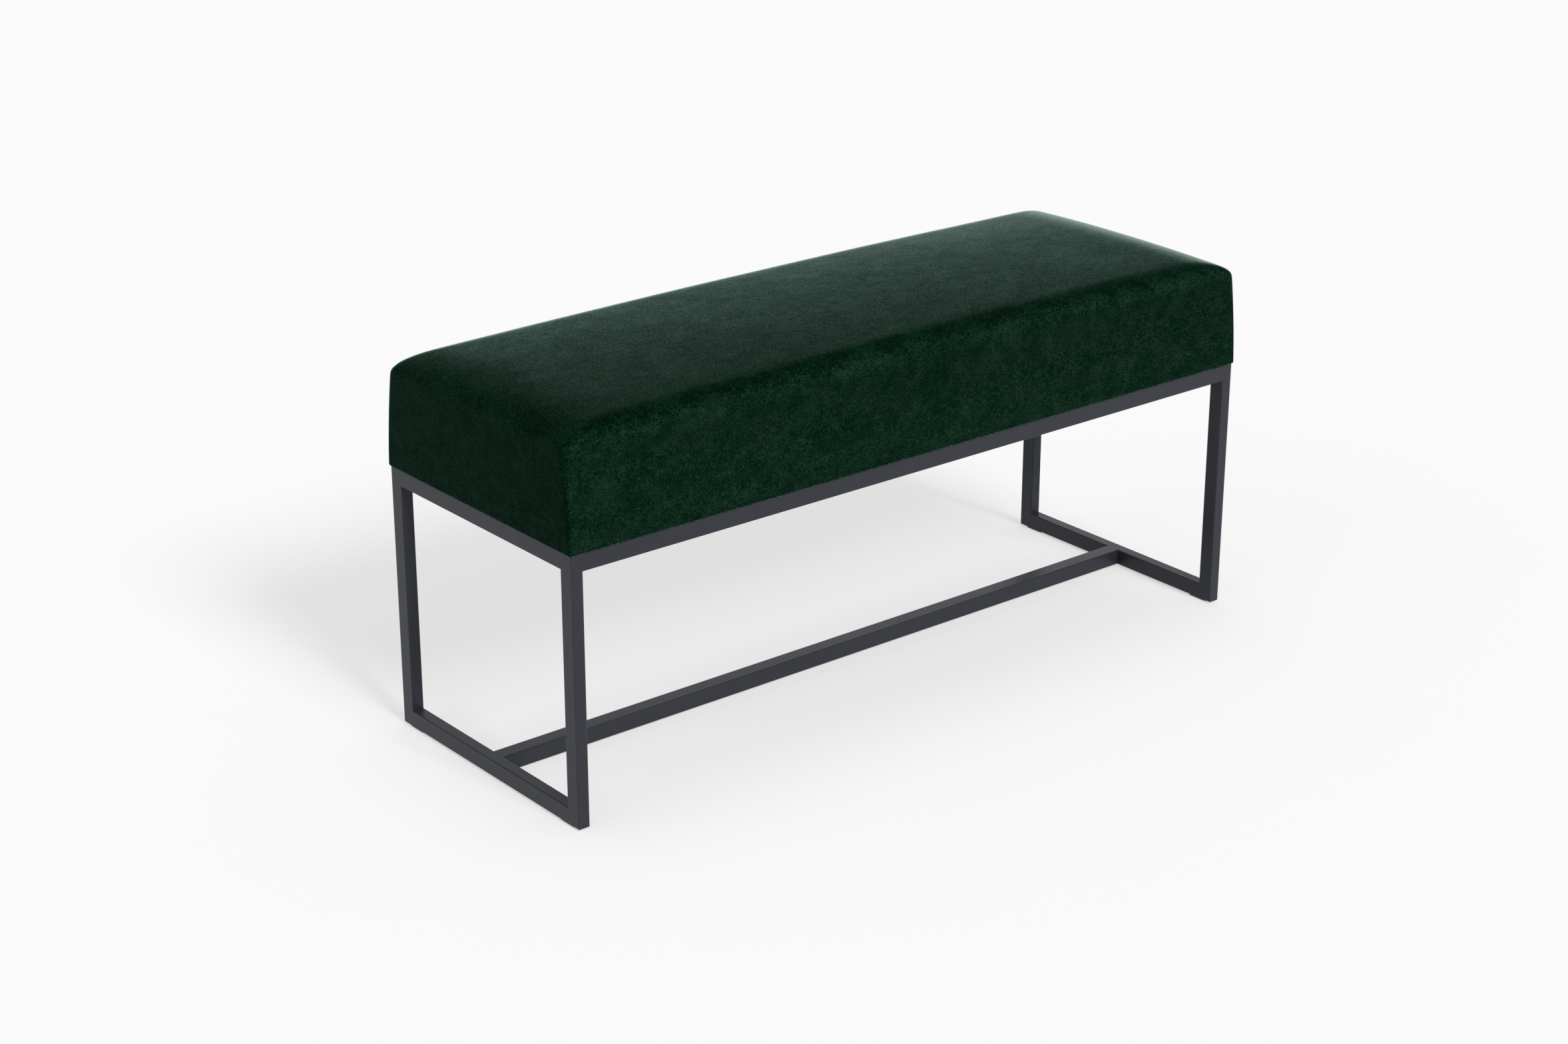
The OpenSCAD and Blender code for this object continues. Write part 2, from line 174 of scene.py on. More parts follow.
@dataclass(frozen=True)
class Clouds:
    """A cloudy pattern: how large its clouds are and what finer layers and warp they have."""

    size_mm: float
    layers: float
    fineness: float = 0.5
    warp: float = 0.0

    def values(self) -> dict[str, float]:
        """Gives the settings of the noise node that draws the pattern.

        Returns:
            Values by socket name, for coordinates in metres.
        """
        return {
            "Scale": 1 / (self.size_mm * MM), "Detail": self.layers,
            "Roughness": self.fineness, "Distortion": self.warp,
        }


@dataclass(frozen=True)
class Finish:
    """What all finishes share: a name, a Principled surface, and tones and a relief laid over it."""

    name: str

    def start(self, **sockets: object) -> tuple[Material, Tree, Node, Node]:
        """Makes an empty material with one Principled surface.

        Args:
            sockets: values of the surface's sockets, with underscores for spaces.

        Returns:
            The material, its node tree, its Principled node and its coordinates.
        """
        material = bpy.data.materials.new(self.name)
        material.use_nodes = True
        tree = material.node_tree
        tree.nodes.clear()
        values = {key.replace("_", " "): value for key, value in sockets.items()}
        surface = add_node(tree, "BsdfPrincipled", values)
        add_node(tree, "OutputMaterial", links={"Surface": surface})
        return material, tree, surface, add_node(tree, "TexCoord")

    @staticmethod
    def lay(
        surface: Node, tones: tuple[str, str], shade: Source,
        height: Source | None = None, relief: Pair = (0.0, 0.0),
    ) -> Node:
        """Lays two tones over a surface by a pattern, and a relief by the same or another one.

        Args:
            surface: the Principled node.
            tones: hex colours where the pattern is 0 and where it is 1.
            shade: the tones' pattern.
            height: the relief's pattern, if it has a relief.
            relief: the relief's strength, and its depth in millimetres.

        Returns:
            The node that gives the tones.
        """
        tree = surface.id_data
        low, high = map(linear, tones)
        tone = add_node(tree, "Mix", {"data_type": "RGBA", 6: low, 7: high}, {0: shade})
        feed(surface, {"Base Color": tone})
        if height is not None:
            strength, depth = relief
            bump = add_node(tree, "Bump", {"Strength": strength, "Distance": depth * MM}, {"Height": height})
            feed(surface, {"Normal": bump})
        return tone

    def material(self) -> Material:
        """Builds the material; every finish has its own."""
        raise NotImplementedError


@dataclass(frozen=True)
class PowderCoat(Finish):
    """Polyester powder coat on steel: sprayed, baked, matt and finely textured.

    To the eye it is an even dark grey with a soft sheen, and a very fine grain only up close.
    """

    colour: str = "#32343b"
    shade: str = "#2f3138"
    gloss: float = 0.22
    roughness: float = 0.34
    edge_roughness: float = 0.27
    cloudiness: float = 0.12
    speckle: float = 0.1
    grain_span: Pair = (0.3, 0.7)
    edge_span: Pair = (0.8, 0.99)
    relief: Pair = (0.22, 0.06)
    grain: Clouds = Clouds(0.9, 2.0, 0.6)
    clouds: Clouds = Clouds(70.0, 3.0)

    def material(self) -> Material:
        """Builds the coat; the real grain of about 0.3 mm is drawn three times as coarse so that it shows.

        Returns:
            The material.
        """
        material, tree, surface, coords = self.start(
            Roughness=self.roughness, IOR=1.5, Specular_IOR_Level=self.gloss
        )
        place = {"Vector": coords.outputs["Object"]}
        clouds = add_node(tree, "TexNoise", self.clouds.values(), place)
        grain = add_node(tree, "TexNoise", self.grain.values(), place)
        tone = self.lay(surface, (self.shade, self.colour), clouds, grain, self.relief)
        low, high = self.grain_span
        speckle = add_node(
            tree, "MapRange",
            {"From Min": low, "From Max": high, "To Min": 1 - self.speckle, "To Max": 1 + self.speckle},
            {"Value": grain},
        )
        colour = add_node(tree, "VectorMath", {"operation": "SCALE"}, {0: tone, "Scale": speckle})

        # Hands and cloths polish the rounded edges first: there no part of the normal is near 1
        turned = add_node(tree, "VectorMath", {"operation": "ABSOLUTE"}, {0: coords.outputs["Normal"]})
        parts = add_node(tree, "SeparateXYZ", links={0: turned}).outputs
        wide = add_node(tree, "Math", {"operation": "MAXIMUM"}, {0: parts["X"], 1: parts["Y"]})
        widest = add_node(tree, "Math", {"operation": "MAXIMUM"}, {0: wide, 1: parts["Z"]})
        edge, flat = self.edge_span
        polish = add_node(
            tree, "MapRange",
            {"From Min": edge, "From Max": flat, "To Min": self.edge_roughness, "To Max": self.roughness},
            {"Value": widest},
        )
        centred = add_node(tree, "Math", {"operation": "SUBTRACT", 1: 0.5}, {0: clouds})
        roughness = add_node(
            tree, "Math", {"operation": "MULTIPLY_ADD", 1: self.cloudiness}, {0: centred, 2: polish}
        )
        feed(surface, {"Base Color": colour, "Roughness": roughness})
        return material


@dataclass(frozen=True)
class Velour(Finish):
    """Polyester velour: knitted, with a short cut pile that was brushed and lies unevenly.

    To the eye it is deep green with a fine grain, greyer and darker clouds where the pile leans, a
    grey-green bloom where it is seen at a low angle, painted shade on its level top and ends, and a
    painted pale rim highlight along its outline.
    """

    deep: str = "#02190d"
    mid: str = "#0d2418"
    pale: str = "#1e3529"
    stops: Point = (0.395, 0.50, 0.67)
    # Painted shade: base colour factors for the level top and the ends, partly the pile's dark ground on
    # bends
    level_painted_shade: Point = (0.15, 0.42, 0.28)
    end_painted_shade: Point = (0.26, 0.64, 0.49)
    level_turn: Pair = (0.45, 0.92)
    end_turn: Pair = (0.30, 0.90)
    turn: Pair = (0.4, 0.9)
    level_contrast: float = 2.5
    end_contrast: float = 1.5
    side_lean: float = 0.06
    end_lean: float = 0.20
    level_lean: float = 0.19
    tuft_lean: float = 1.5
    patches: Clouds = Clouds(26.0, 4.0, 0.62, 0.5)
    mottle: Clouds = Clouds(8.0, 5.0, 0.72, 0.2)
    tufts: Clouds = Clouds(1.8, 2.0, 0.6)
    shares: Point = (0.34, 0.36, 0.76)
    swept: Clouds = Clouds(26.0, 5.0, 1.0)
    parted: Clouds = Clouds(1.8, 1.0, 1.0)
    brush_stretch: float = 1.2
    gloss: float = 0.0
    roughness: float = 0.6
    bloom: float = 1.0
    bloom_roughness: float = 0.25
    bloom_tint: str = "#cefff3"
    # Painted rim highlight: the pale colour mixed in along the outline, where the cover is seen edge-on
    painted_rim: str = "#b0b0b0"
    painted_rim_from: float = 0.735
    painted_rim_rise: float = 1.5
    relief: Pair = (0.55, 0.35)

    def material(self) -> Material:
        """Builds the velour; single pile tufts of about 0.5 mm are drawn at 1.8 mm so that they show.

        Returns:
            The material.
        """
        material, tree, surface, coords = self.start(
            Roughness=self.roughness, IOR=1.45, Specular_IOR_Level=self.gloss,
            Sheen_Weight=self.bloom, Sheen_Roughness=self.bloom_roughness,
            Sheen_Tint=linear(self.bloom_tint),
        )
        brushed = add_node(
            tree, "Mapping", {"Scale": (1 / self.brush_stretch, 1.0, 1.0)},
            {"Vector": coords.outputs["Object"]},
        )
        parts = add_node(tree, "SeparateXYZ", links={0: coords.outputs["Normal"]}).outputs
        end = add_node(tree, "Math", {"operation": "ABSOLUTE"}, {0: parts["X"]})
        pile = None
        for clouds, share in zip((self.patches, self.mottle, self.tufts), self.shares):
            layer = add_node(tree, "TexNoise", clouds.values(), {"Vector": brushed})
            below = {0: layer} if pile is None else {0: layer, 2: pile}
            settings = {"operation": "MULTIPLY_ADD", 1: share, 2: -sum(self.shares) / 2}
            pile = add_node(tree, "Math", settings, below)
        colour = self.pile_colour(tree, pile, parts["Z"], end)
        normal = self.leaning(tree, brushed, parts["Z"], end)
        strength, depth = self.relief
        fine = add_node(
            tree, "Bump", {"Strength": strength, "Distance": depth * MM}, {"Height": layer, "Normal": normal}
        )
        feed(surface, {"Base Color": colour, "Normal": fine})
        return material

    def by_face(self, tree: Tree, value: float, *others: tuple[Source, float]) -> Node:
        """Gives one value to the long sides, which changes softly to others where a place turns away.

        Args:
            tree: the node tree.
            value: the long sides' value.
            others: how far a place faces another way, and the value there.

        Returns:
            The node that gives the value.
        """
        start, end = self.turn
        found = value
        for source, other in others:
            settings, links = {"From Min": start, "From Max": end, "To Max": other}, {"Value": source}
            target = links if isinstance(found, Node) else settings
            target["To Min"] = found
            found = add_node(tree, "MapRange", settings, links)
        return found

    def pile_colour(self, tree: Tree, pile: Source, level: Source, end: Source) -> Node:
        """Colours the pile by how it leans, with painted shade by the way the place faces and a painted rim
        highlight along the outline.

        Args:
            tree: the node tree.
            pile: the pile's pattern, around 0.
            level: how far a place faces up.
            end: how far it faces along the bench.

        Returns:
            The node that gives the colour.
        """
        # On the level top and on the ends the pile's sides show, so its lean makes a larger difference
        contrast = self.by_face(tree, 1.0, (level, self.level_contrast), (end, self.end_contrast))
        depth = add_node(
            tree, "Math", {"operation": "MULTIPLY_ADD", 2: self.stops[1]}, {0: pile, 1: contrast}
        )
        colour = add_node(tree, "ValToRGB", links={"Fac": depth})
        stops = colour.color_ramp.elements
        stops.new(self.stops[1])
        for stop, position, tone in zip(stops, self.stops, (self.deep, self.mid, self.pale)):
            stop.position = position
            stop.color = linear(tone)

        # The base colour is darkened on bends, on the level top and on the ends by which way a place faces:
        # painted shade, partly the pile opening onto its dark ground on bends
        for source, (start, full), tone in (
            (level, self.level_turn, self.level_painted_shade), (end, self.end_turn, self.end_painted_shade),
        ):
            share = add_node(tree, "MapRange", {"From Min": start, "From Max": full}, {"Value": source})
            painted_shading = {"data_type": "RGBA", "blend_type": "MULTIPLY", 7: (*tone, 1.0)}
            colour = add_node(tree, "Mix", painted_shading, {0: share, 6: colour})

        # Painted rim highlight: the base colour turns pale where the surface is seen edge-on along the
        # outline, as the last part of the sheen
        turned = add_node(tree, "LayerWeight", {"Blend": 0.5}).outputs["Facing"]
        painted_rim = add_node(
            tree, "MapRange", {"From Min": self.painted_rim_from, "From Max": 1.0}, {"Value": turned}
        )
        rising = add_node(tree, "Math", {"operation": "POWER", 1: self.painted_rim_rise}, {0: painted_rim})
        return add_node(
            tree, "Mix", {"data_type": "RGBA", 7: linear(self.painted_rim)}, {0: rising, 6: colour}
        )

    def leaning(self, tree: Tree, place: Source, level: Source, end: Source) -> Node:
        """Lets each part of the pile lean its own way, which turns the normal without any ridge or dent.

        Args:
            tree: the node tree.
            place: the brushed coordinates.
            level: how far a place faces up.
            end: how far it faces along the bench.

        Returns:
            The node that gives the normal.
        """
        swept, parted = (
            add_node(tree, "TexNoise", clouds.values(), {"Vector": place}).outputs["Color"]
            for clouds in (self.swept, self.parted)
        )
        lean = add_node(
            tree, "VectorMath", {"operation": "MULTIPLY_ADD", 1: (self.tuft_lean,) * 3},
            {0: parted, 2: swept},
        )
        sideways = add_node(
            tree, "VectorMath", {"operation": "SUBTRACT", 1: ((1 + self.tuft_lean) / 2,) * 3}, {0: lean}
        )
        reach = self.by_face(tree, self.side_lean, (end, self.end_lean), (level, self.level_lean))
        turned = add_node(tree, "VectorMath", {"operation": "SCALE"}, {0: sideways, "Scale": reach})
        flat = add_node(tree, "NewGeometry").outputs["Normal"]
        normal = add_node(tree, "VectorMath", {"operation": "ADD"}, {0: flat, 1: turned})
        return add_node(tree, "VectorMath", {"operation": "NORMALIZE"}, {0: normal})


@dataclass(frozen=True)
class SpunbondCloth(Finish):
    """Spunbond polypropylene dust cloth: heat-bonded fibres, embossed with small dots.

    To the eye it is a thin black cloth with a faint regular grid of pressed points.
    """

    colour: str = "#1d1d1e"
    worn: str = "#2a2a2b"
    dot_mm: float = 2.0
    fibres: Clouds = Clouds(1.2, 5.0, 0.7, 1.5)
    fibre_height: float = 0.5
    relief: Pair = (0.5, 0.15)

    def material(self) -> Material:
        """Builds the cloth; bonding points 0.8 mm apart are drawn 2 mm apart so that they show.

        Returns:
            The material.
        """
        material, tree, surface, coords = self.start(Roughness=0.8, IOR=1.49, Specular_IOR_Level=0.3)
        place = {"Vector": coords.outputs["Object"]}
        dots = add_node(tree, "TexVoronoi", {"Scale": 1 / (self.dot_mm * MM), "Randomness": 0.1}, place)
        fibres = add_node(tree, "TexNoise", self.fibres.values(), place)
        height = add_node(
            tree, "Math", {"operation": "MULTIPLY_ADD", 1: self.fibre_height}, {0: fibres, 2: dots}
        )
        self.lay(surface, (self.colour, self.worn), fibres, height, self.relief)
        return material


@dataclass(frozen=True)
class ZincPlate(Finish):
    """Electroplated zinc on steel, passivated: bright, with a faint blue cast and cloudy gloss."""

    colour: str = "#b7bcc4"
    dull: str = "#9a9ea3"
    clouds: Clouds = Clouds(3.0, 4.0, 0.6)
    roughness: Pair = (0.24, 0.46)

    def material(self) -> Material:
        """Builds the plating; clouds of passivation are a few millimetres across.

        Returns:
            The material.
        """
        bright, dull = self.roughness
        material, tree, surface, coords = self.start(Metallic=1.0, Roughness=(bright + dull) / 2)
        clouds = add_node(tree, "TexNoise", self.clouds.values(), {"Vector": coords.outputs["Object"]})
        self.lay(surface, (self.dull, self.colour), clouds)
        gloss = add_node(tree, "MapRange", {"To Min": bright, "To Max": dull}, {"Value": clouds})
        feed(surface, {"Roughness": gloss})
        return material


@dataclass(frozen=True)
class BirchPlywood(Finish):
    """Birch plywood: rotary-cut veneers glued crosswise and sawn to size.

    To the eye it is pale wood with long faint grain on its faces and dark and light lines on its edges.
    """

    early: str = "#d9b98a"
    late: str = "#b98f5e"
    ply_mm: float = 1.4
    grain_mm: Pair = (90.0, 5.0)
    grain: Clouds = Clouds(1000.0, 6.0, 0.65, 0.6)
    relief: Pair = (0.3, 0.1)

    def material(self) -> Material:
        """Builds the board; each veneer is 1.4 mm thick, and the grain runs along X.

        Returns:
            The material.
        """
        material, tree, surface, coords = self.start(Roughness=0.62, IOR=1.5)
        along, across = (1 / (size * MM) for size in self.grain_mm)
        place = {"Vector": coords.outputs["Object"]}
        stretched = add_node(tree, "Mapping", {"Scale": (along, across, across)}, place)
        # The stretched coordinates count grains, so a cloud of one unit, 1000 mm, is one grain
        grain = add_node(tree, "TexNoise", self.grain.values(), {"Vector": stretched})
        # A wave of scale 1 repeats 20 times over tau metres, and one repeat is 2 plies, light and dark
        repeats = math.tau / (20 * 2 * self.ply_mm * MM)
        plies = add_node(
            tree, "TexWave", {"wave_type": "BANDS", "bands_direction": "Z", "Scale": repeats}, place
        )
        parts = add_node(tree, "SeparateXYZ", links={0: coords.outputs["Normal"]}).outputs
        flat = add_node(tree, "Math", {"operation": "ABSOLUTE"}, {0: parts["Z"]})
        pattern = add_node(
            tree, "Mix", {"data_type": "FLOAT"}, {0: flat, 2: plies.outputs["Fac"], 3: grain}
        )
        self.lay(surface, (self.early, self.late), pattern, grain, self.relief)
        return material


@dataclass(frozen=True)
class OpenFill(Finish):
    """Cushion filling, foamed or carded: pale, matt and full of small holes or loose fibres."""

    light: str = "#efe6cb"
    dark: str = "#cbbd94"
    cell_mm: float = 1.5
    relief: Pair = (0.7, 0.4)

    def material(self) -> Material:
        """Builds the filling; its cells or fibre tufts are about a millimetre across.

        Returns:
            The material.
        """
        material, tree, surface, coords = self.start(Roughness=0.95, IOR=1.45, Specular_IOR_Level=0.2)
        cells = add_node(
            tree, "TexVoronoi", {"Scale": 1 / (self.cell_mm * MM)}, {"Vector": coords.outputs["Object"]}
        )
        self.lay(surface, (self.dark, self.light), cells, cells, self.relief)
        return material


@dataclass(frozen=True)
class MouldedPolyethylene(Finish):
    """Polyethylene, injection moulded with a spark-eroded grain: matt, black and slightly waxy."""

    colour: str = "#1b1b1c"
    rubbed: str = "#29292a"
    grain: Clouds = Clouds(0.8, 3.0)
    relief: Pair = (0.3, 0.05)

    def material(self) -> Material:
        """Builds the plastic; the tool's grain of 0.2 mm is drawn four times as coarse so that it shows.

        Returns:
            The material.
        """
        material, tree, surface, coords = self.start(Roughness=0.58, IOR=1.51)
        grain = add_node(tree, "TexNoise", self.grain.values(), {"Vector": coords.outputs["Object"]})
        self.lay(surface, (self.colour, self.rubbed), grain, grain, self.relief)
        return material


@dataclass(frozen=True)
class StudioFloor(Finish):
    """Matt pale studio floor, painted: even, and lifted to white where it is looked at.

    To the eye it is plain white and shows only the bench's soft shadow.
    """

    colour: str = "#afafaf"
    patchy: str = "#aeaeae"
    clouds: Clouds = Clouds(900.0, 1.0)
    lift: float = 0.51

    def material(self) -> Material:
        """Builds the floor, with very broad and faint clouds in its paint.

        Returns:
            The material.
        """
        material, tree, surface, coords = self.start(
            Roughness=1.0, IOR=1.4, Specular_IOR_Level=0.0, Emission_Color=(1.0, 1.0, 1.0, 1.0)
        )
        glow = add_node(tree, "Math", {"operation": "MULTIPLY", 1: self.lift}, {0: seen_directly(tree)})
        clouds = add_node(tree, "TexNoise", self.clouds.values(), {"Vector": coords.outputs["Object"]})
        self.lay(surface, (self.patchy, self.colour), clouds)
        feed(surface, {"Emission Strength": glow})
        return material


def mesh_piece(
    name: str, points: Sequence[Sequence[float]], faces: Sequence[Face],
    material: Material, smooth: bool = True,
) -> Piece:
    """Makes a mesh object and adds it to the scene.

    Args:
        name: the piece's name.
        points: the vertices, in metres.
        faces: the vertex numbers of each face.
        material: the finish of all faces.
        smooth: whether the faces shade as one round surface.

    Returns:
        The new object.
    """
    mesh = bpy.data.meshes.new(name)
    mesh.from_pydata([tuple(map(float, p)) for p in points], [], [tuple(f) for f in faces])
    mesh.validate()
    mesh.materials.append(material)
    for polygon in mesh.polygons:
        polygon.use_smooth = smooth
    piece = bpy.data.objects.new(name, mesh)
    bpy.context.scene.collection.objects.link(piece)
    return piece


def settle(piece: Piece, slot: Slot, *nodes: str) -> Piece:
    """Makes a piece ride on the bench and hides the CAD nodes that it stands for.

    Args:
        piece: the new piece.
        slot: the record's slot; not used.
        nodes: the CAD nodes that it replaces.

    Returns:
        The same piece.
    """
    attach(piece, BODY)
    if nodes:
        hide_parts(*nodes)
    return piece


def dress(nodes: Iterable[str], material: Material) -> list[str]:
    """Gives CAD nodes a finish and leaves their meshes as they are.

    Args:
        nodes: names of the CAD nodes.
        material: the finish.

    Returns:
        The names that were dressed.
    """
    names = list(nodes)
    for name in names:
        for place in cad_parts[name].material_slots:
            place.link = "OBJECT"
            place.material = material
    return names


def rod(first: int, rings: int, count: int, clockwise: bool = False) -> list[Face]:
    """Lists the faces of a closed rod, whose rings of points follow one another.

    Args:
        first: number of the first ring's first point.
        rings: how many rings there are.
        count: points in each ring.
        clockwise: whether a ring runs clockwise when the rod comes towards the eye.

    Returns:
        The quads between the rings and the two end faces, all facing outward.
    """
    last = first + (rings - 1) * count
    found = []
    for here in range(first, last, count):
        for k in range(count):
            n = (k + 1) % count
            found.append((here + k, here + n, here + count + n, here + count + k))
    found += [tuple(range(first, first + count))[::-1], tuple(range(last, last + count))]
    return [face[::-1] for face in found] if clockwise else found


@dataclass
class TubeFrame:
    """The welded frame: CAD's two end loops, two long rails and stretcher, with their welds ground flush."""

    coat: PowderCoat = field(default_factory=lambda: PowderCoat("powder_coat_on_tube"))
    rails: tuple[str, ...] = ("front_rail", "back_rail", "stretcher")
    loop_rails: tuple[str, ...] = ("top_rail", "floor_rail")
    edge_radius: float = 1.2
    edge_steps: int = 6

    def nodes(self) -> list[str]:
        """Lists every tube.

        Returns:
            The names of the nodes.
        """
        names = list(self.rails)
        for end in End:
            names += [f"{end.word}_{rail}" for rail in self.loop_rails]
            names += [f"{row.word}_{end.word}_leg" for row in Row]
        return names

    def section(self, low: Vector, high: Vector) -> list[Pair]:
        """Draws the outline across a tube with rounded edges.

        Args:
            low: the tube's lowest corner, in metres.
            high: the tube's highest corner, in metres.

        Returns:
            Places in Y and Z, in metres.
        """
        radius = self.edge_radius * MM
        middle = (low + high) / 2
        half_y, half_z = (high.y - low.y) / 2 - radius, (high.z - low.z) / 2 - radius
        found = []
        for side_y, side_z, start in ((1, 1, 0), (-1, 1, 1), (-1, -1, 2), (1, -1, 3)):
            for step in range(self.edge_steps + 1):
                turn = QUARTER * (start + step / self.edge_steps)
                found.append((
                    middle.y + side_y * half_y + radius * math.cos(turn),
                    middle.z + side_z * half_z + radius * math.sin(turn),
                ))
        return found

    def ground_welds(self, coat: Material) -> Piece:
        """Builds the weld metal that was ground flush where rails and stretcher meet the loops.

        Each end carries the tube's own outline on as far as the loop's rounded edge reaches.

        Args:
            coat: the finish.

        Returns:
            The piece.
        """
        points, faces = [], []
        for node in self.rails:
            low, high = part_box(node)
            outline = self.section(low, high)
            for end in End:
                first = len(points)
                butt = end.outer(low.x, high.x)
                for x in (butt, butt + end.value * self.edge_radius * MM):
                    points += [(x, y, z) for y, z in outline]
                faces += rod(first, 2, len(outline), clockwise=end is End.LEFT)
        piece = mesh_piece("ground_welds", points, faces, coat, smooth=False)
        return settle(piece, Slot.TUBE)

    def build(self) -> list[str]:
        """Dresses the tubes, builds their welds and returns all names."""
        coat = self.coat.material()
        return dress(self.nodes(), coat) + [self.ground_welds(coat).name]


@dataclass
class CushionForm:
    """The outer form of the cover: leaning sides, drawn in between the corners, and a crowned top.

    Heights are counted from the frame's upper face, and all sizes are in millimetres. A grid line is
    given by its share of the rounding, 0 to 1, and its flat place, -1 to 1.
    """

    half_length: float
    half_depth: float
    rim: float = 132.0
    crown_length: float = 5.0
    crown_depth: float = 6.0
    lean_length: float = 0.5
    lean_depth: float = 4.0
    side_pull: float = 1.5
    round_length: float = 76.0
    round_depth: float = 32.0
    round_height: float = 21.0
    round_fullness: float = 2.1
    corner_fullness: float = 8.0
    corner_radius: float = 10.0
    least_radius: float = 1.0
    tuck: float = 2.5
    fold_width: float = 28.0
    cloth: float = 1.2
    round_steps: int = 9
    flat_steps: tuple[int, int] = (84, 24)
    side_steps: int = 14
    tuck_steps: int = 4
    fold_steps: int = 4

    @property
    def shoulder(self) -> float:
        """Height at which the sides turn into the rounding."""
        return self.rim - self.round_height

    def lines(self, axis: int) -> list[Pair]:
        """Lists the grid lines across one axis.

        Args:
            axis: 0 for the length and 1 for the depth.

        Returns:
            The lines, from the negative end to the positive one.
        """
        flat = self.flat_steps[axis]
        rising = [math.sin(QUARTER * (k + 1) / self.round_steps) for k in range(self.round_steps)]
        found = [(share, -1.0) for share in reversed(rising)]
        found += [(0.0, 2 * k / flat - 1) for k in range(flat + 1)]
        found += [(share, 1.0) for share in rising]
        return found

    def corner(self, share_x: float, share_y: float) -> float:
        """Tells how far the grid's square corner is drawn in onto the rounded one.

        Args:
            share_x: the share of the line across the length.
            share_y: the share of the line across the depth.

        Returns:
            The factor, 1 where nothing is drawn in.
        """
        largest = max(share_x, share_y)
        if largest == 0:
            return 1.0
        power = self.corner_fullness
        return largest / (share_x ** power + share_y ** power) ** (1 / power)

    def plan(self, line_x: Pair, line_y: Pair, half: Pair, radius: Pair) -> Pair:
        """Finds where two grid lines cross in an outline.

        Args:
            line_x: the line across the length.
            line_y: the line across the depth.
            half: half the outline's length and depth.
            radius: the corner's radius along the length and the depth.

        Returns:
            The place in X and Y.
        """
        factor = self.corner(line_x[0], line_y[0])
        return (
            line_x[1] * (half[0] - radius[0] * (1 - line_x[0] * factor)),
            line_y[1] * (half[1] - radius[1] * (1 - line_y[0] * factor)),
        )

    def top(self, line_x: Pair, line_y: Pair) -> Point:
        """Finds the point of the top where two grid lines cross.

        Args:
            line_x: the line across the length.
            line_y: the line across the depth.

        Returns:
            The point.
        """
        half = (self.half_length - self.lean_length, self.half_depth - self.lean_depth)
        x, y = self.plan(line_x, line_y, half, (self.round_length, self.round_depth))
        power = self.round_fullness
        dome = (1 - max(line_x[0], line_y[0]) ** power) ** (1 / power)
        crown = self.crown_length * (1 - (x / half[0]) ** 2) + self.crown_depth * (1 - (y / half[1]) ** 2)
        return (x, y, self.shoulder + (self.round_height + crown) * dome)

    def side(self, line_x: Pair, line_y: Pair, height: float) -> Point:
        """Finds the point of the side below a place on the rim.

        Args:
            line_x: the line across the length.
            line_y: the line across the depth.
            height: the point's height.

        Returns:
            The point.
        """
        share = height / self.shoulder
        half = (
            self.half_length - self.lean_length * share,
            self.half_depth - self.lean_depth * share,
        )
        grown = share * share
        radius = (
            self.corner_radius + (self.round_length - self.corner_radius) * grown,
            self.corner_radius + (self.round_depth - self.corner_radius) * grown,
        )
        x, y = self.plan(line_x, line_y, half, radius)
        pull = self.side_pull * math.sin(math.pi * share)
        if line_x[0] == 1:
            x -= math.copysign(pull * (1 - (y / half[1]) ** 2), x)
        if line_y[0] == 1:
            y -= math.copysign(pull * (1 - (x / half[0]) ** 2), y)
        return (x, y, height)

    def under(self, line_x: Pair, line_y: Pair, inset: float, height: float) -> Point:
        """Finds a point under the cushion, on an outline inside the lower edge.

        Args:
            line_x: the line across the length.
            line_y: the line across the depth.
            inset: how far the outline lies inside the edge.
            height: the point's height.

        Returns:
            The point.
        """
        radius = max(self.corner_radius - inset, self.least_radius)
        half = (self.half_length - inset, self.half_depth - inset)
        return (*self.plan(line_x, line_y, half, (radius, radius)), height)

    def rings(self) -> list[Callable[[Pair, Pair], Point]]:
        """Lists the rings below the rim, from the shoulder down and under the board's edge.

        Returns:
            For each ring, a function from a place on the rim to its point.
        """
        found = []
        for k in range(1, self.side_steps + 1):
            height = self.shoulder + (self.tuck - self.shoulder) * k / self.side_steps
            found.append(lambda a, b, h=height: self.side(a, b, h))
        for k in range(1, self.tuck_steps + 1):
            turn = QUARTER * k / self.tuck_steps
            inset = self.tuck * (1 - math.cos(turn))
            height = self.tuck * (1 - math.sin(turn))
            found.append(lambda a, b, i=inset, h=height: self.under(a, b, i, h))
        for k in range(1, self.fold_steps + 1):
            inset = self.tuck + (self.fold_width - self.tuck) * k / self.fold_steps
            found.append(lambda a, b, i=inset: self.under(a, b, i, 0.0))
        return found


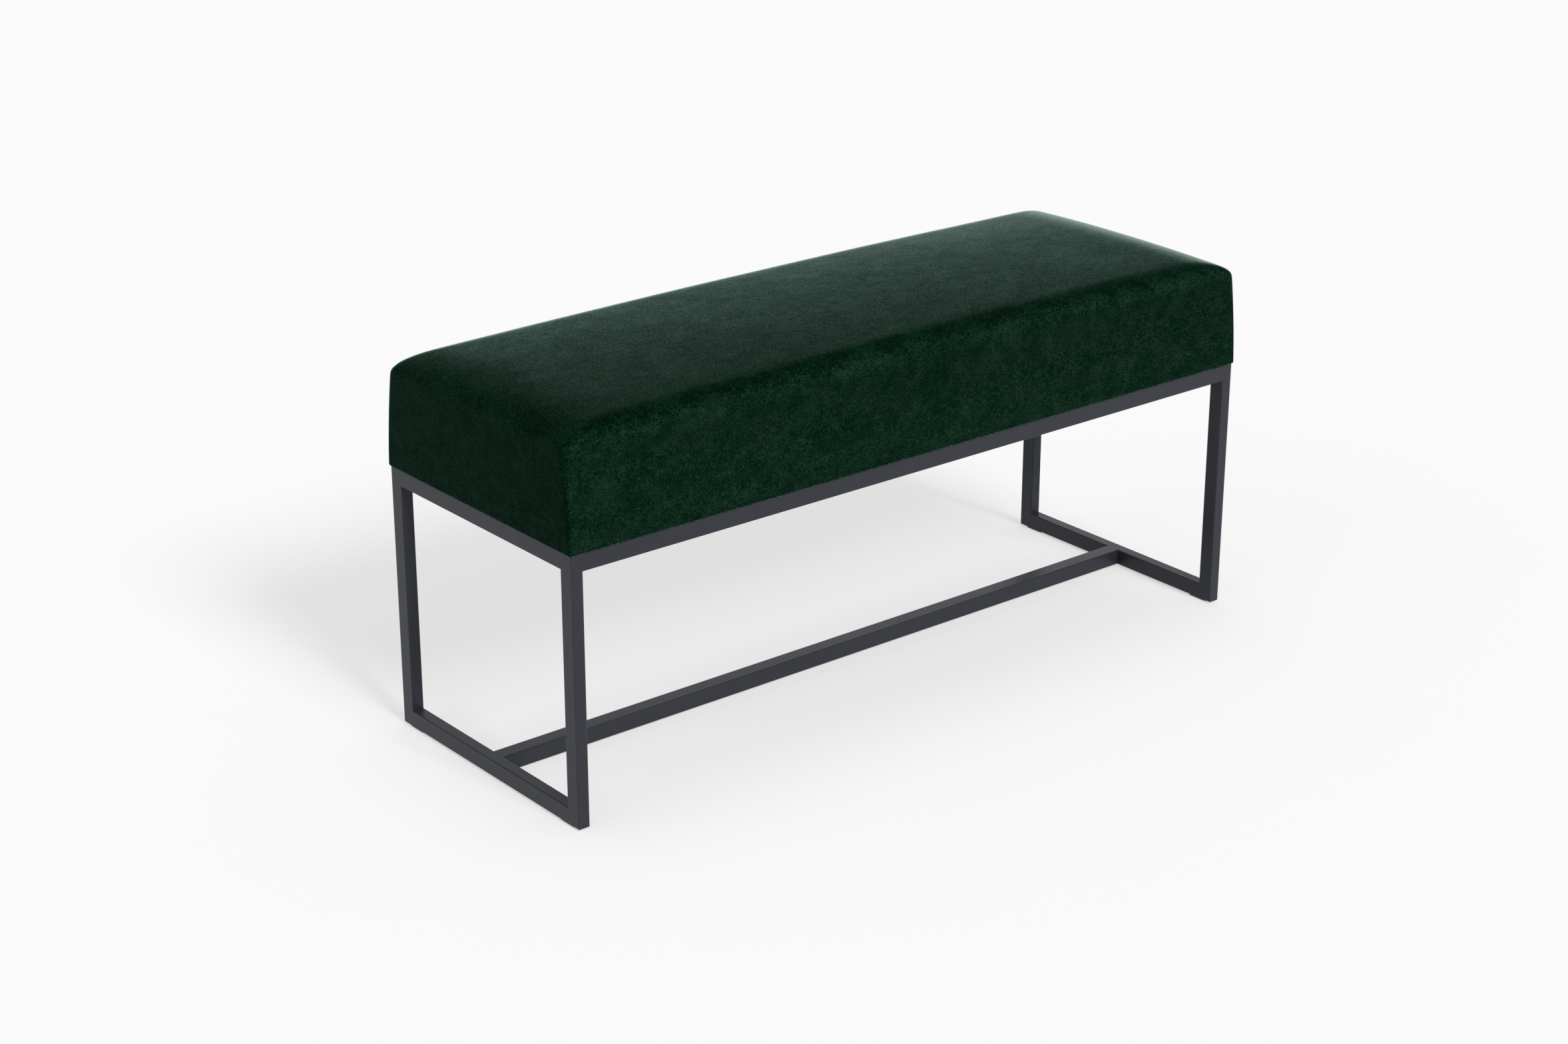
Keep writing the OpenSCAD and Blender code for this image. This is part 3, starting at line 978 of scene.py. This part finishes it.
@dataclass
class SeatCushion:
    """The cushion: foam and wadding on a plywood board inside a tight velour cover.

    The cover's form is a formula's, and a cloth simulation adds a small share of how cloth swells on it.
    """

    velour: Velour = field(default_factory=lambda: Velour("velour_cover"))
    plywood: BirchPlywood = field(default_factory=lambda: BirchPlywood("birch_plywood_board"))
    foam: OpenFill = field(default_factory=lambda: OpenFill("polyurethane_foam_core"))
    fleece: OpenFill = field(
        default_factory=lambda: OpenFill("polyester_wadding_fleece", "#f6f5f1", "#dedcd4", 2.5)
    )
    cloth_frames: int = 20
    pressure: float = 4.0
    start_inset: float = 1.2
    yielding: float = 0.018
    most_out: float = 1.0
    most_in: float = 0.5
    sag_size: float = 130.0
    sag_depth: float = 0.5
    end_power: float = 12.0
    side_power: float = 8.0
    top_weight: float = 6.0
    end_fade: float = 0.06
    side_fade: float = 0.16
    corner_fade: float = 0.1
    low_fade: float = 18.0
    held_height: float = 0.01

    def closed_mesh(self, form: CushionForm) -> tuple[np.ndarray, list[Face]]:
        """Builds the cover as a closed grid of quads.

        Args:
            form: the form to follow.

        Returns:
            The points in millimetres, counted from the frame's upper face, and the faces.
        """
        lines_x, lines_y = form.lines(0), form.lines(1)
        count_x, count_y = len(lines_x), len(lines_y)
        points = [form.top(a, b) for a in lines_x for b in lines_y]
        cells = [
            (start, start + count_y, start + count_y + 1, start + 1)
            for i in range(count_x - 1) for start in range(i * count_y, (i + 1) * count_y - 1)
        ]
        faces = list(cells)
        rim = [(i, 0) for i in range(count_x - 1)]
        rim += [(count_x - 1, j) for j in range(count_y - 1)]
        rim += [(i, count_y - 1) for i in range(count_x - 1, 0, -1)]
        rim += [(0, j) for j in range(count_y - 1, 0, -1)]
        above = [i * count_y + j for i, j in rim]
        for ring in form.rings():
            below = list(range(len(points), len(points) + len(rim)))
            points += [ring(lines_x[i], lines_y[j]) for i, j in rim]
            faces += self.band(above, below)
            above = below
        first = len(points)
        points += [form.under(a, b, form.fold_width, form.cloth) for a in lines_x for b in lines_y]
        faces += self.band(above, [first + i * count_y + j for i, j in rim])
        faces += [(first + a, first + d, first + c, first + b) for a, b, c, d in cells]
        return np.array(points), faces

    @staticmethod
    def band(above: list[int], below: list[int]) -> list[Face]:
        """Lists the quads between two rings, each given by the numbers of its points."""
        count = len(above)
        return [(above[k], below[k], below[(k + 1) % count], above[(k + 1) % count]) for k in range(count)]

    def swell(self, points: np.ndarray, faces: list[Face], form: CushionForm) -> np.ndarray:
        """Lets the cover swell as cloth over its filling and measures how far each point moves.

        Args:
            points: the points of the form, in millimetres.
            faces: the faces of the form.
            form: the form, for its heights.

        Returns:
            The move of each point, in millimetres.
        """
        inner = points.copy()
        inner[:, :2] -= np.sign(inner[:, :2]) * self.start_inset
        inner[:, 2] -= np.where(inner[:, 2] > form.shoulder, self.start_inset, 0.0)
        trial = mesh_piece("cover_trial", inner * MM, faces, bpy.data.materials.new("cover_trial"))
        held = trial.vertex_groups.new(name="held")
        for k in np.nonzero(points[:, 2] < form.tuck + self.held_height)[0]:
            held.add([int(k)], 1.0, "REPLACE")
        cloth = trial.modifiers.new("cover", "CLOTH")
        for name, value in (
            ("quality", 6), ("mass", 0.3), ("tension_stiffness", 40), ("compression_stiffness", 40),
            ("shear_stiffness", 12), ("bending_stiffness", 3), ("air_damping", 4), ("use_pressure", True),
            ("uniform_pressure_force", self.pressure), ("vertex_group_mass", "held"),
        ):
            setattr(cloth.settings, name, value)
        cloth.settings.effector_weights.gravity = 0
        cloth.collision_settings.use_collision = False
        scene = bpy.context.scene
        cloth.point_cache.frame_start = 1
        cloth.point_cache.frame_end = self.cloth_frames
        for number in range(1, self.cloth_frames + 1):
            scene.frame_set(number)
        shaped = trial.evaluated_get(bpy.context.evaluated_depsgraph_get()).to_mesh()
        places = np.empty(len(shaped.vertices) * 3)
        shaped.vertices.foreach_get("co", places)
        moved = places.reshape(-1, 3) / MM - inner
        scene.frame_set(1)
        bpy.data.objects.remove(trial, do_unlink=True)
        return moved

    def even_out(self, points: np.ndarray, moved: np.ndarray, form: CushionForm) -> np.ndarray:
        """Limits the swelling, fades it near the crisp edges and adds the foam's slight unevenness.

        Args:
            points: the points of the form.
            moved: how far the cloth moved each point.
            form: the form.

        Returns:
            The final points, in millimetres.
        """
        outward = points.copy()
        outward[:, 2] = np.maximum(points[:, 2] - form.shoulder, 0.0) * self.top_weight
        outward[:, 0] *= np.abs(points[:, 0] / form.half_length) ** self.end_power
        outward[:, 1] *= np.abs(points[:, 1] / form.half_depth) ** self.side_power
        outward /= np.maximum(np.linalg.norm(outward, axis=1, keepdims=True), TINY)
        along = (moved * outward).sum(1)
        swollen = np.clip(along * self.yielding, -self.most_in, self.most_out)
        end_gap = 1 - np.abs(points[:, 0]) / form.half_length
        side_gap = 1 - np.abs(points[:, 1]) / form.half_depth
        on_top = np.minimum(end_gap / self.end_fade, side_gap / self.side_fade)
        on_side = np.maximum(end_gap, side_gap) / self.corner_fade
        clear = np.where(points[:, 2] > form.shoulder, on_top, on_side)
        low = np.clip((points[:, 2] - form.tuck) / self.low_fade, 0, 1)
        fade = np.clip(clear, 0, 1) * low
        uneven = np.array([noise.noise(Vector(p) / self.sag_size) for p in points]) * self.sag_depth
        return points + outward * ((swollen + uneven) * fade)[:, None]

    def cover(self) -> Piece:
        """Builds the velour cover.

        Returns:
            The piece.
        """
        low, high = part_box("seat_cover")
        form = CushionForm(high.x / MM, high.y / MM)
        points, faces = self.closed_mesh(form)
        shaped = self.even_out(points, self.swell(points, faces, form), form)
        shaped[:, 2] += low.z / MM
        piece = mesh_piece("velour_cover", shaped * MM, faces, self.velour.material())
        smooth = piece.modifiers.new("smooth", "SUBSURF")
        smooth.levels = smooth.render_levels = 1
        settle(piece, Slot.VELOUR, "seat_cover")
        return piece

    def build(self) -> list[str]:
        """Builds the cover and dresses what is inside it.

        Returns:
            The names of all pieces.
        """
        names = [self.cover().name]
        for node, finish in (
            ("seat_board", self.plywood), ("foam_block", self.foam), ("wadding", self.fleece),
        ):
            names += dress([node], finish.material())
        return names


@dataclass
class Fixings:
    """What holds the cushion to the frame, seen from below: plates, welds, bolts, washers and nuts.

    Sizes are in millimetres. A profile gives an outline's reach, as a share of the head's apothem, and
    its height, or a groove's height as a share of the pitch and its depth.
    """

    coat: PowderCoat = field(
        default_factory=lambda: PowderCoat("powder_coat_on_plate", "#3a3b3f", "#35363a")
    )
    zinc: ZincPlate = field(default_factory=lambda: ZincPlate("zinc_plate_on_steel"))
    hole_in: float = 22.0
    tab_hole_in: float = 18.0
    flats: float = 10.0
    head: float = 4.0
    around: int = 24
    head_face: tuple[Pair, ...] = ((0.55, 0.35), (0.62, 0.0), (0.96, 0.0))
    head_top: Pair = (0.97, 0.2)
    shank: float = 20.0
    thread: float = 6.0
    pitch: float = 1.0
    groove: tuple[Pair, ...] = ((0.0, 0.3), (0.35, 0.0), (0.65, 0.0))
    chamfer: float = 0.5
    weld_leg: float = 3.0
    weld_length: float = 20.0
    weld_inset: float = 4.0
    weld_steps: int = 6
    taper: float = 8.0
    ripples: int = 9
    ripple_steps: int = 4
    ripple_height: float = 0.10
    bead_fullness: Pair = (0.82, 0.12)
    least_bead: float = 0.05

    def plates(self) -> list[tuple[str, Row, End | None]]:
        """Lists the corner plates and tabs.

        Returns:
            Their names with the row and, for a corner plate, the end they are at.
        """
        found = []
        for row in Row:
            found += [(f"corner_plate_{row.word}_{end.word}", row, end) for end in End]
            found.append((f"{row.word}_tab", row, None))
        return found

    def bolt_places(self) -> list[Pair]:
        """Finds where the bolts stand, from the plates' outer edges.

        Returns:
            Places in X and Y, in metres.
        """
        found = []
        for node, row, end in self.plates():
            low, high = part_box(node)
            edge_y = row.outer(low.y, high.y)
            if end:
                edge_x = end.outer(low.x, high.x)
                inward = self.hole_in * MM
                found.append((edge_x - end.value * inward, edge_y - row.value * inward))
            else:
                found.append((0.0, edge_y - row.value * self.tab_hole_in * MM))
        return found

    def hexagon(self, limit: float, height: float) -> list[Point]:
        """Draws a hexagon whose corners are cut back to a circle.

        Args:
            limit: the circle's radius, in millimetres.
            height: the outline's height, in millimetres.

        Returns:
            The outline's points, in millimetres.
        """
        sector = math.pi / 3
        ring = []
        for k in range(self.around):
            turn = math.tau * k / self.around
            off = (turn + sector / 2) % sector - sector / 2
            reach = min(self.flats / 2 / math.cos(off), limit)
            ring.append((reach * math.cos(turn), reach * math.sin(turn), height))
        return ring

    def bolt_rings(self) -> list[list[Point]]:
        """Draws one bolt's outlines, from the head's lower face up to the thread's tip.

        Returns:
            The outlines, in millimetres.
        """
        apothem = self.flats / 2
        corner = apothem / math.cos(math.pi / 6)
        share, rounding = self.head_top
        profile = [(apothem * reach, height) for reach, height in self.head_face]
        profile += [(corner, self.chamfer), (corner, self.head - rounding), (apothem * share, self.head)]
        radius, tip = self.thread / 2, self.head + self.shank
        for turn in range(math.ceil((self.shank - self.chamfer) / self.pitch)):
            start = self.head + turn * self.pitch
            profile += [(radius - depth, start + step * self.pitch) for step, depth in self.groove]
        profile.append((radius - self.chamfer, tip))
        return [self.hexagon(limit, height) for limit, height in profile]

    def bolts(self, zinc: Material) -> Piece:
        """Builds the six seat bolts as one piece, with chamfered heads and ring grooves for a thread.

        Args:
            zinc: the finish.

        Returns:
            The piece.
        """
        low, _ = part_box("seat_bolts")
        rings = self.bolt_rings()
        points, faces = [], []
        for x, y in self.bolt_places():
            first = len(points)
            points += [(x + px * MM, y + py * MM, low.z + pz * MM) for ring in rings for px, py, pz in ring]
            faces += rod(first, len(rings), self.around)
        piece = mesh_piece("hex_seat_bolts", points, faces, zinc, smooth=False)
        return settle(piece, Slot.ZINC, "seat_bolts")

    def weld_places(self) -> list[tuple[Vector, Vector, Vector]]:
        """Finds where the welds lie.

        Returns:
            For every weld its middle, the direction along the rail and the direction away from it.
        """
        found = []
        along_x, along_y = Vector((1, 0, 0)), Vector((0, 1, 0))
        for node, row, end in self.plates():
            low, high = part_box(node)
            inward = Vector((0, -row.value, 0))
            edge_y = row.outer(low.y, high.y)
            if end:
                middle = (low + high) / 2 - Vector((end.value, row.value, 0)) * self.weld_inset * MM
                edge_x = end.outer(low.x, high.x)
                found.append((Vector((middle.x, edge_y, low.z)), along_x, inward))
                found.append((Vector((edge_x, middle.y, low.z)), along_y, Vector((-end.value, 0, 0))))
            else:
                off = (high.x - low.x - self.weld_length * MM) / 2
                found += [(Vector((x, edge_y, low.z)), along_x, inward) for x in (-off, off)]
        return found

    def beads(self, coat: Material) -> Piece:
        """Builds the rippled weld beads under the plates as one piece.

        Args:
            coat: the finish.

        Returns:
            The piece.
        """
        run_steps = self.ripples * self.ripple_steps
        ring = self.weld_steps + 2
        flat, full = self.bead_fullness
        points, faces = [], []
        for middle, along, away in self.weld_places():
            first = len(points)
            for k in range(run_steps + 1):
                share = k / run_steps
                taper = min(1.0, self.taper * share, self.taper * (1 - share)) ** 0.5
                ripple = 1 + self.ripple_height * math.cos(math.tau * self.ripples * share)
                size = self.weld_leg * MM * max(taper * ripple, self.least_bead)
                start = middle + along * (share - 0.5) * self.weld_length * MM
                for step in range(self.weld_steps + 1):
                    turn = QUARTER * step / self.weld_steps
                    bulge = size * (flat + full * math.sin(2 * turn))
                    down = Vector((0, 0, 1)) * bulge * math.sin(turn)
                    points.append(start + away * bulge * math.cos(turn) - down)
                points.append(start)
            # A ring turns from away to straight down: clockwise where along x away points up
            faces += rod(first, run_steps + 1, ring, clockwise=along.cross(away).z > 0)
        piece = mesh_piece("weld_beads", points, faces, coat)
        return settle(piece, Slot.PLATE, "plate_welds")

    def build(self) -> list[str]:
        """Builds bolts and beads and dresses the rest.

        Returns:
            The names of all pieces.
        """
        coat, zinc = self.coat.material(), self.zinc.material()
        names = dress([node for node, _, _ in self.plates()], coat)
        names += [self.beads(coat).name, self.bolts(zinc).name]
        return names + dress(["washers", "tee_nuts", "cover_staples", "dust_cover_staples"], zinc)


@dataclass
class Underside:
    """The black dust cloth that closes the seat from below, and the pads under the floor rails.

    Sizes are in millimetres.
    """

    cloth: SpunbondCloth = field(default_factory=lambda: SpunbondCloth("spunbond_dust_cloth"))
    plastic: MouldedPolyethylene = field(
        default_factory=lambda: MouldedPolyethylene("polyethylene_floor_pad")
    )
    cell: float = 7.0
    sag: float = 1.6
    crease: float = 0.25
    crease_turns: Pair = (14.0, 26.0)
    crease_layer: float = 0.3
    edge_reach: float = 50.0
    plate_reach: float = 66.0
    tab_reach: float = 36.0
    free_reach: float = 40.0
    hole_radius: float = 4.5

    def sag_at(self, x: float, y: float, half_x: float, half_y: float) -> float:
        """Tells how far the cloth hangs down at a place.

        Args:
            x: the place in X, in metres.
            y: the place in Y, in metres.
            half_x: half the cloth's length, in metres.
            half_y: half the cloth's width, in metres.

        Returns:
            The sag, in metres.
        """
        in_x, in_y = (half_x - abs(x)) / MM, (half_y - abs(y)) / MM
        edge = min(in_x / self.edge_reach, in_y / self.edge_reach, 1.0)
        off_plate = (max(in_x, in_y) - self.plate_reach) / self.free_reach
        off_tab = (max(abs(x) / MM, in_y) - self.tab_reach) / self.free_reach
        share = max(edge, 0.0) * max(min(off_plate, off_tab, 1.0), 0.0)
        turns_x, turns_y = self.crease_turns
        folds = noise.noise(Vector((x * turns_x, y * turns_y, self.crease_layer))) * self.crease
        return share * (self.sag * (1 - (y / half_y) ** 2) + folds + self.crease) * MM

    def dust_cloth(self) -> Piece:
        """Builds the sagging dust cloth with its bolt holes.

        Returns:
            The piece.
        """
        low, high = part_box("dust_cover")
        half_x, half_y = high.x, high.y
        level = (low.z + high.z) / 2
        count_x, count_y = (round(2 * half / (self.cell * MM)) for half in (half_x, half_y))
        bolts = Fixings().bolt_places()

        def place(i: float, j: float) -> Pair:
            """Where the cloth's grid lines i and j cross."""
            return half_x * (2 * i / count_x - 1), half_y * (2 * j / count_y - 1)

        points, faces = [], []
        for i in range(count_x + 1):
            for j in range(count_y + 1):
                x, y = place(i, j)
                points.append((x, y, level - self.sag_at(x, y, half_x, half_y)))
        for i in range(count_x):
            for j in range(count_y):
                x, y = place(i + 0.5, j + 0.5)
                if min(math.hypot(x - bx, y - by) for bx, by in bolts) > self.hole_radius * MM:
                    first = i * (count_y + 1) + j
                    faces.append((first, first + 1, first + count_y + 2, first + count_y + 1))
        piece = mesh_piece("dust_cloth", points, faces, self.cloth.material())
        settle(piece, Slot.SPUNBOND, "dust_cover")
        return piece

    def build(self) -> list[str]:
        """Builds the dust cloth, dresses the pads and returns all names."""
        pads = [f"floor_pad_{row.word}_{end.word}" for row in Row for end in End]
        return [self.dust_cloth().name] + dress(pads, self.plastic.material())


@dataclass(frozen=True)
class Lamp:
    """A far and broad lamp: a softbox or reflector, seen as an even disc in the sky.

    Share is its part of the floor's light; height, yaw and width are in degrees, yaw 0 at the front.
    """

    name: str
    share: float
    height: float
    yaw: float
    width: float

    def build(self) -> None:
        """Adds the lamp."""
        lamp = bpy.data.lights.new(self.name, "SUN")
        lamp.energy = self.share * math.pi / math.sin(math.radians(self.height))
        lamp.angle = math.radians(self.width)
        holder = bpy.data.objects.new(self.name, lamp)
        holder.rotation_euler = (math.radians(90 - self.height), 0.0, math.radians(self.yaw))
        bpy.context.scene.collection.objects.link(holder)


@dataclass
class Studio:
    """Pale floor, soft light and the camera at the photograph's viewing angle.

    Angles are in degrees. The backdrop is a broad pale panel that fades at its edges, and gloss sees
    less of the room beside it.
    """

    floor: StudioFloor = field(default_factory=lambda: StudioFloor("painted_studio_floor"))
    floor_half: float = 40.0
    lens_mm: float = 66.5
    sensor_mm: float = 36.0
    camera_place: Point = (-2.080, -2.469, 1.464)
    camera_yaw: float = 39.11
    camera_pitch: float = -21.69
    sky: float = 0.35
    backdrop: str = "#fafafa"
    panel_yaw: float = 60.0
    panel_height: float = 4.0
    panel_half: float = 20.0
    panel_fades: float = 46.0
    beside_panel: float = 0.3
    lamps: tuple[Lamp, ...] = (
        Lamp("front_softbox", share=0.45, height=38.0, yaw=-2.0, width=18.0),
        Lamp("top_softbox", share=0.20, height=83.0, yaw=150.0, width=30.0),
        Lamp("left_reflector", share=0.06, height=22.0, yaw=-95.0, width=60.0),
    )

    def camera(self) -> None:
        """Places the camera."""
        lens = bpy.data.cameras.new("camera")
        lens.lens = self.lens_mm
        lens.sensor_width = self.sensor_mm
        lens.sensor_fit = "HORIZONTAL"
        lens.dof.use_dof = False
        eye = bpy.data.objects.new("camera", lens)
        eye.location = self.camera_place
        eye.rotation_euler = (math.radians(90 + self.camera_pitch), 0.0, -math.radians(self.camera_yaw))
        bpy.context.scene.collection.objects.link(eye)
        bpy.context.scene.camera = eye

    def light(self) -> None:
        """Adds the lamps and an even pale sky, which together light the floor with a strength of 1."""
        for lamp in self.lamps:
            lamp.build()
        world = bpy.data.worlds.new("studio")
        world.use_nodes = True
        bpy.context.scene.world = world
        tree = world.node_tree
        tree.nodes.clear()
        lit = add_node(tree, "Background", {"Color": (1.0, 1.0, 1.0, 1.0), "Strength": self.sky})
        way = add_node(tree, "TexCoord").outputs["Generated"]
        turn, rise = math.radians(self.panel_yaw), math.radians(self.panel_height)
        toward = (math.sin(turn) * math.cos(rise), math.cos(turn) * math.cos(rise), math.sin(rise))
        near = add_node(tree, "VectorMath", {"operation": "DOT_PRODUCT", 1: toward}, {0: way})
        fade = add_node(
            tree, "MapRange",
            {
                "interpolation_type": "SMOOTHSTEP",
                "From Min": math.cos(math.radians(self.panel_fades)),
                "From Max": math.cos(math.radians(self.panel_half)),
                "To Min": self.beside_panel, "To Max": 1.0,
            },
            {"Value": near},
        )
        seen = add_node(tree, "LightPath").outputs["Is Camera Ray"]
        strength = add_node(tree, "Math", {"operation": "MAXIMUM"}, {0: fade, 1: seen})
        shown = add_node(tree, "Background", {"Color": linear(self.backdrop)}, {"Strength": strength})
        both = add_node(tree, "MixShader", links={0: seen_directly(tree), 1: lit, 2: shown})
        add_node(tree, "OutputWorld", links={"Surface": both})

    def ground(self) -> None:
        """Lays the floor."""
        half = self.floor_half
        points = [(-half, -half, 0.0), (half, -half, 0.0), (half, half, 0.0), (-half, half, 0.0)]
        plane = mesh_piece("studio_floor", points, [(0, 1, 2, 3)], self.floor.material(), smooth=False)

    def build(self) -> None:
        """Sets the colour view, camera, light and floor."""
        bpy.context.scene.view_settings.view_transform = "Standard"
        self.camera()
        self.light()
        self.ground()


def main() -> None:
    """Builds the studio and every sub-assembly in order and reports their pieces."""
    logging.basicConfig(level=logging.INFO, format="%(name)s: %(message)s")
    Studio().build()
    for assembly in (TubeFrame(), SeatCushion(), Fixings(), Underside()):
        for name in assembly.build():
            log.info("%s: %s", type(assembly).__name__, name)


if __name__ == "__main__":
    main()
